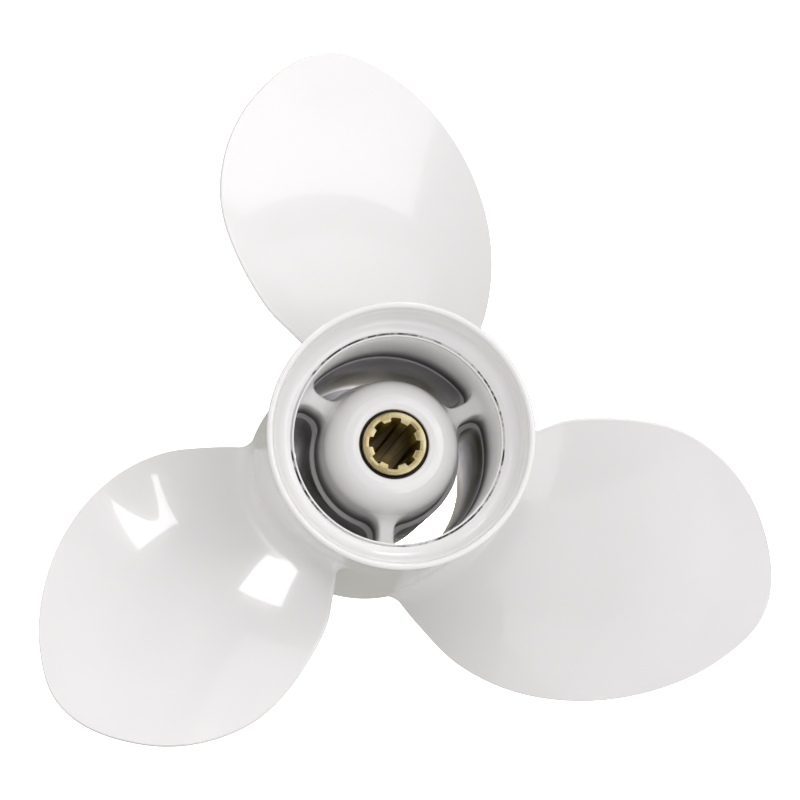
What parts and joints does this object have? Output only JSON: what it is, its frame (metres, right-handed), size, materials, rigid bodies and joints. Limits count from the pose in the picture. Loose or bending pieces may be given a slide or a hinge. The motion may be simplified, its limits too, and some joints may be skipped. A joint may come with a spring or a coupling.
{
  "type": "boat propeller",
  "caption": "Right-hand outboard boat propeller with broad round blades, a through-hub exhaust barrel with a flared lip, and a splined sleeve in a rubber bush.",
  "frame": {"origin": "on the shaft axis, level with the front face of the outer barrel", "axes": "+Z along the shaft axis, pointing aft; blade_1's middle line points along +Y"},
  "size_m": [0.21, 0.1968, 0.0982],
  "materials": {
    "paint": "gloss white paint on cast aluminium",
    "rubber": "matte moulded",
    "brass": "machined"
  },
  "bodies": {
    "propeller": {"outer_barrel": "paint", "inner_hub": "paint", "rib_1": "paint", "rib_2": "paint", "rib_3": "paint", "blade_1": "paint", "blade_2": "paint", "blade_3": "paint", "rubber_bush": "rubber"},
    "drive_sleeve": {"splined_sleeve": "brass"}
  },
  "joints": [
    {"name": "bush_wind_up", "type": "hinge", "parent": "propeller", "child": "drive_sleeve", "pos_m": [0, 0, 0.042], "axis": [0, 0, 1], "range_deg": [-15, 15], "stiffness_Nm_per_rad": 180}
  ]
}
